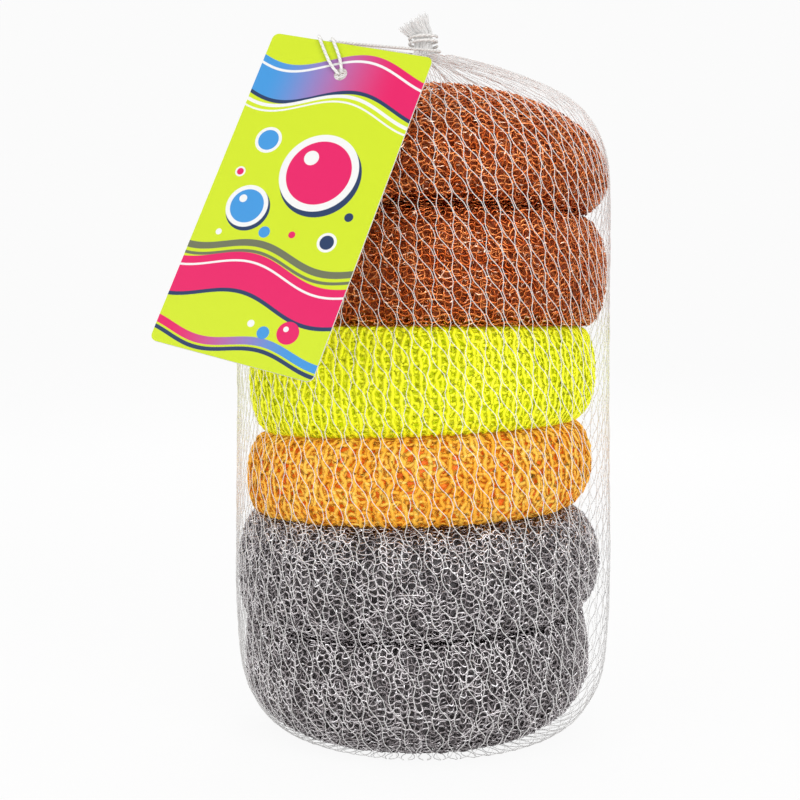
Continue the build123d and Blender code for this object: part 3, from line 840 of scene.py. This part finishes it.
for family, label in enumerate(("net_left_threads", "net_right_threads")):
    chosen = count % 2 == family
    net = strand_piece(
        label, paths[chosen], outward[chosen], round_section(thread_radius, 3), False, net_thread)
    print(label, "triangles", sum(len(face.vertices) - 2 for face in net.data.polygons))
    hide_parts("net_sleeve")
    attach(net, "pack")

# %% [markdown]
# ## Tag
# The tag is thin card, printed and lightly varnished on its front. It is cut from a flat sheet, so it
# is made from a plane at its real size: the corners are rounded, the hole is cut with a round cutter,
# and Solidify and a fine Bevel give it its thickness and its softened edge. It is then turned into
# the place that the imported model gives.

# %% Where the tag lies
tag_origin = Vector((-18.446, -37.172, 153.035)) * mm
tag_across = Vector((0.89978, -0.37835, -0.21735)).normalized()
tag_front = Vector((-0.28462, -0.88649, 0.36488)).normalized()
tag_up = tag_front.cross(tag_across)
tag_place = Matrix.Translation(tag_origin) @ Matrix((tag_across, tag_up, tag_front)).transposed().to_4x4()
tag_width, tag_height, tag_thickness, tag_corner = 39.0, 75.0, 0.5, 1.5
hole_radius, hole_drop = 1.5, 7.3
edge_width = 0.07
print("tag reaches", [round(c / mm, 1) for c in tag_place @ Vector((0, (hole_drop - tag_height) * mm, 0))])

# %% Cut the card
def apply_modifier(obj, kind, **settings):
    made = obj.modifiers.new(kind.lower(), kind)
    for name, value in settings.items():
        setattr(made, name, value)
    bpy.ops.object.modifier_apply(modifier=made.name)


deselect()
bpy.ops.mesh.primitive_plane_add(size=1, location=(0, 0, 0))
tag = bpy.context.object
tag.name = "tag"
tag.scale = (tag_width * mm, tag_height * mm, 1)
bpy.ops.object.transform_apply(location=False, rotation=False, scale=True)
bpy.ops.object.mode_set(mode="EDIT")
bpy.ops.mesh.select_all(action="SELECT")
bpy.ops.mesh.bevel(offset=tag_corner * mm, segments=6, affect="VERTICES")
bpy.ops.mesh.select_all(action="SELECT")
bpy.ops.transform.translate(value=(0, (hole_drop - tag_height / 2) * mm, 0))
bpy.ops.object.mode_set(mode="OBJECT")
apply_modifier(tag, "SOLIDIFY", thickness=tag_thickness * mm, offset=0)
deselect()
bpy.ops.mesh.primitive_cylinder_add(vertices=40, radius=hole_radius * mm, depth=4 * mm, location=(0, 0, 0))
punch = bpy.context.object
deselect()
bpy.context.view_layer.objects.active = tag
tag.select_set(True)
apply_modifier(tag, "BOOLEAN", operation="DIFFERENCE", object=punch)
apply_modifier(
    tag, "BEVEL", width=edge_width * mm, segments=2, limit_method="ANGLE", angle_limit=math.radians(50))
bpy.data.objects.remove(punch)
tag.data.transform(tag_place)
tag.data.update()

# %% [markdown]
# ## Print
# The front carries a plain pattern of bubbles and soft waves in lime, pink, blue and navy. Each shape is
# a mask made from the card's own flat coordinates in millimetres, which a Mapping node works out from
# Object coordinates. Discs and waves are groups, placed many times.

# %% Disc and wave masks
edge_blur = 0.06  # mm


def crisp(tree, inside):
    """A mask from how far a point lies inside a shape."""
    made = add_node(tree, "ShaderNodeMapRange", Value=inside, From_Min=-edge_blur, From_Max=edge_blur)
    return made.outputs["Result"]


disc_mask, given, result = new_group("disc_mask", ["Mask"], Vector=None, Centre=(0, 0, 0), Radius=5.0)
flat = add_node(disc_mask, "ShaderNodeVectorMath", operation="MULTIPLY")
feed(disc_mask, given["Vector"], flat.inputs[0])
feed(disc_mask, (1, 1, 0), flat.inputs[1])
far = add_node(disc_mask, "ShaderNodeVectorMath", operation="DISTANCE")
feed(disc_mask, flat.outputs[0], far.inputs[0])
feed(disc_mask, given["Centre"], far.inputs[1])
inside = maths(disc_mask, "SUBTRACT", given["Radius"], far.outputs["Value"])
disc_mask.links.new(crisp(disc_mask, inside), result["Mask"])

wave_mask, given, result = new_group(
    "wave_mask", ["Mask"], Vector=None, Height=0.0, Swing=2.0, Turns=0.15, Phase=0.0, Half_width=2.0)
parts = add_node(wave_mask, "ShaderNodeSeparateXYZ", Vector=given["Vector"]).outputs
angle = maths(wave_mask, "MULTIPLY_ADD", parts["X"], given["Turns"], given["Phase"])
middle = maths(wave_mask, "MULTIPLY_ADD", maths(wave_mask, "SINE", angle), given["Swing"], given["Height"])
away = maths(wave_mask, "ABSOLUTE", maths(wave_mask, "SUBTRACT", parts["Y"], middle))
inside = maths(wave_mask, "SUBTRACT", given["Half width"], away)
wave_mask.links.new(crisp(wave_mask, inside), result["Mask"])

# %% Printed card
lime_ink = (0.57, 0.70, 0.018)
pink_ink = (0.70, 0.010, 0.120)
blue_ink = (0.050, 0.28, 0.64)
navy_ink = (0.014, 0.036, 0.105)
grey_ink = (0.14, 0.155, 0.090)
white_ink = (0.79, 0.79, 0.78)
waves = [
    # colour, height of the middle line, swing, turns, phase, half width; later ones lie on earlier ones
    (navy_ink, -2.2, 2.6, 0.17, 0.6, 4.6),
    ("blue to pink", -1.5, 2.6, 0.17, 0.6, 4.4),
    (white_ink, 1.2, 2.6, 0.17, 0.7, 0.30),
    (white_ink, -7.6, 2.6, 0.17, 0.9, 0.40),
    (white_ink, -9.0, 2.6, 0.17, 1.0, 0.22),
    (grey_ink, -43.4, 1.7, 0.20, 2.2, 0.8),
    (grey_ink, -45.3, 1.7, 0.20, 2.2, 0.35),
    (navy_ink, -51.0, 2.0, 0.18, 2.2, 4.3),
    (pink_ink, -50.2, 2.0, 0.18, 2.2, 4.2),
    (white_ink, -48.0, 2.0, 0.18, 2.2, 0.25),
    ("pink to blue", -63.6, 1.3, 0.22, 0.3, 0.9),
    (navy_ink, -65.4, 1.3, 0.22, 0.3, 0.45),
]
discs = [
    # colour, centre across and up, radius
    (navy_ink, 4.6, -24.4, 9.2), (white_ink, 3.8, -23.4, 9.0),
    (pink_ink, 3.8, -23.4, 7.4), (white_ink, 0.9, -20.4, 1.7),
    (navy_ink, -9.0, -34.6, 5.1), (white_ink, -9.5, -34.0, 4.9),
    (blue_ink, -9.5, -34.0, 3.9), (white_ink, -11.0, -32.5, 0.9),
    (white_ink, -10.6, -18.2, 3.1), (blue_ink, -10.6, -18.2, 2.4),
    (white_ink, 11.5, -38.2, 2.2), (navy_ink, 11.5, -38.2, 1.6),
    (pink_ink, 10.6, -59.0, 2.5), (white_ink, 9.9, -58.3, 0.6),
    (blue_ink, 5.2, -60.2, 1.4), (white_ink, 1.8, -58.9, 0.8),
    (navy_ink, 14.2, -31.8, 1.0), (white_ink, -14.2, -26.6, 1.2), (pink_ink, -14.2, -26.6, 0.8),
    (blue_ink, -3.2, -38.9, 1.3), (pink_ink, 3.2, -38.2, 0.8), (white_ink, -13.6, -41.0, 0.7),
]
fade_from, fade_to = -17.0, 14.0  # across the card, in mm
ink_depth = 0.045
card, tree, shader = new_material("printed_card")
place = add_node(tree, "ShaderNodeTexCoord").outputs["Object"]
to_card = tag_place.inverted()
flat_place = add_node(
    tree, "ShaderNodeMapping", Vector=place, Location=to_card.translation / mm,
    Rotation=to_card.to_euler(), Scale=(1 / mm, 1 / mm, 1 / mm)).outputs[0]
on_card = add_node(tree, "ShaderNodeSeparateXYZ", Vector=flat_place).outputs
fade = add_node(tree, "ShaderNodeMapRange", interpolation_type="SMOOTHSTEP",
                Value=on_card["X"], From_Min=fade_from, From_Max=fade_to).outputs["Result"]
faded_inks = {
    "blue to pink": mix_colours(tree, fade, blue_ink, pink_ink),
    "pink to blue": mix_colours(tree, fade, pink_ink, blue_ink),
}
colour = add_node(tree, "ShaderNodeRGB").outputs[0]
colour.default_value = (*lime_ink, 1)
for ink, height, swing, turns, phase, half in waves:
    mask = place_group(tree, wave_mask, Vector=flat_place, Height=height, Swing=swing, Turns=turns,
                       Phase=phase, Half_width=half)
    colour = mix_colours(tree, mask[0], colour, faded_inks.get(ink, ink))
for ink, x, y, radius in discs:
    mask = place_group(tree, disc_mask, Vector=flat_place, Centre=(x, y, 0), Radius=radius)
    colour = mix_colours(tree, mask[0], colour, ink)
printed = maths(tree, "GREATER_THAN", on_card["Z"], tag_thickness / 2 - ink_depth)
fibres = place_group(tree, patchy_tone, Vector=place, Scale=1400, From=0.25, To=0.75)[0]
board = mix_colours(tree, fibres, (0.80, 0.79, 0.74), (0.70, 0.69, 0.63))
varnish = add_node(tree, "ShaderNodeMapRange", Value=printed, To_Min=0.75, To_Max=0.38)
set_sockets(tree, shader, Base_Color=mix_colours(tree, printed, board, colour),
            Roughness=varnish.outputs["Result"], Specular_IOR_Level=0.25,
            Normal=add_bump(tree, fibres, 0.15, 0.03))
tag.data.materials.append(card)
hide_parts("tag_card")
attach(tag, "tag")

# %% [markdown]
# ## String
# One thread of two-ply cotton holds the tag. It loops round the neck of the net, and its two legs go
# through the tag's hole as a cow hitch: up the front, over the edge and across behind the legs. The
# long part bends where it reaches the tag. The route's points go to a NURBS curve, which rounds them
# as a limp thread would.


# %% String helpers
string_section = round_section(0.35, 10)


def nurbs_line(points, samples):
    """Points along a smooth NURBS route, evenly spaced."""
    data = bpy.data.curves.new("route", "CURVE")
    data.dimensions = "3D"
    spline = data.splines.new("NURBS")
    spline.points.add(len(points) - 1)
    for spot, point in zip(spline.points, points):
        spot.co = (*point, 1)
    spline.order_u = 3
    spline.use_endpoint_u = True
    spline.resolution_u = 12
    route = bpy.data.objects.new("route", data)
    scene.collection.objects.link(route)
    line = bpy.data.meshes.new_from_object(route)
    found = np.array([vertex.co[:] for vertex in line.vertices])
    bpy.data.objects.remove(route)
    bpy.data.curves.remove(data)
    bpy.data.meshes.remove(line)
    reach = np.concatenate([[0], np.cumsum(np.linalg.norm(np.diff(found, axis=0), axis=1))])
    even = np.linspace(0, reach[-1], samples)
    return np.stack([np.interp(even, reach, found[:, k]) for k in range(3)], axis=1)


def string_piece(name, points, samples, way):
    """A round string along a route in mm."""
    line = nurbs_line(points, samples)
    print(name, "length in mm", round(float(np.linalg.norm(np.diff(line, axis=0), axis=1).sum()), 1))
    facing = np.repeat(np.array([way], float), samples, axis=0)[None]
    return strand_piece(name, line[None], facing, string_section, False, cotton_string)


# %% Cow hitch
strand_lean = math.radians(39.8)
strand_depth, bridge_depth = 0.80, 1.70
up_way = -np.array(tag_across) * math.sin(strand_lean) + np.array(tag_up) * math.cos(strand_lean)
side_way = np.array(tag_across) * math.cos(strand_lean) + np.array(tag_up) * math.sin(strand_lean)
front_way = np.array(tag_front)
hole = np.array(tag_origin) / mm


def on_string(side, up, front):
    """A point beside the hitch's own lines, in mm."""
    return hole + side_way * side + up_way * up + front_way * front


def edge_reach(sideways):
    return (hole_drop - sideways * math.sin(strand_lean)) / math.cos(strand_lean)


def hitch_half(side):
    wrap, leg = 1.3 * side, 0.45 * side
    over = edge_reach(wrap) + 1.05
    return [
        on_string(leg, edge_reach(0) - 0.4, -strand_depth), on_string(leg, 4.0, -strand_depth),
        on_string(leg, 1.0, -strand_depth), on_string(leg, 0.55, -0.3), on_string(leg, 0.55, 0.4),
        on_string(wrap * 0.7, 1.6, strand_depth), on_string(wrap, 4.5, strand_depth),
        on_string(wrap, over - 0.9, strand_depth), on_string(wrap, over, strand_depth * 0.8),
        on_string(wrap, over, -bridge_depth * 0.8), on_string(wrap, over - 1.2, -bridge_depth),
        on_string(wrap * 0.8, edge_reach(wrap) - 1.9, -bridge_depth),
    ]


hitch = string_piece("hitch", hitch_half(1) + hitch_half(-1)[::-1], 220, side_way)
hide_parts("tag_hitch")
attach(hitch, "hitch")

# %% Legs and neck loop
pivot = np.array((-21.470, -31.949, 161.175))
neck = np.array((0.0, 0.0, 165.3))
leg_way = unit(pivot - neck)
across_way = unit(np.cross((0, 0, 1), leg_way))
loop_radius = 3.55
loop_back = 4.1  # of the loop behind the neck's axis


def leg_half(side):
    """From behind the tag up to the neck, on one side."""
    beside = across_way * side
    return [
        on_string(0.45 * side, edge_reach(0) - 1.6, -strand_depth),
        on_string(0.45 * side, edge_reach(0) - 0.4, -strand_depth),
        pivot + side_way * 0.45 * side, pivot - leg_way * 1.2 + beside * 0.5,
        neck + leg_way * 24 + beside * 1.3, neck + leg_way * 12 + beside * 2.5,
        neck + leg_way * 3.0 + beside * loop_radius * 0.97,
        neck + beside * loop_radius * 1.08 - leg_way * 1.6,
        neck + beside * loop_radius * 0.72 - leg_way * 3.6,
    ]


route = leg_half(1.0) + [neck - leg_way * loop_back] + leg_half(-1.0)[::-1]
string = string_piece("string", route, 420, (0, 0, 1))
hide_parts("tag_string")
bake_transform(string)


# %% Bindings of the net's two ends
winding_radius, winding_pitch, winding_turns = 3.35, 1.15, 2
for name, foot, node in (("neck_winding", 166.2, "neck_binding"), ("base_winding", 3.8, "base_binding")):
    turn = np.linspace(0, winding_turns * 2 * math.pi, 160)
    height = foot + 0.55 + winding_pitch * turn / (2 * math.pi)
    line = np.stack([winding_radius * np.cos(turn), winding_radius * np.sin(turn), height], axis=1)
    facing = np.stack([np.cos(turn), np.sin(turn), 0 * turn], axis=1)
    made = strand_piece(name, line[None], facing[None], string_section, False, cotton_string)
    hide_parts(node)
    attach(made, "pack")

# %% [markdown]
# ## Tie rings
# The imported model's own rings keep their shape. They are plain bent wire, so they take the steel
# ribbon's finish.

# %% Finish the rings
for name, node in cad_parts.items():
    if name.endswith("_tie"):
        for spot in node.material_slots:
            spot.material = steel_ribbon
        if not node.material_slots:
            node.data.materials.append(steel_ribbon)
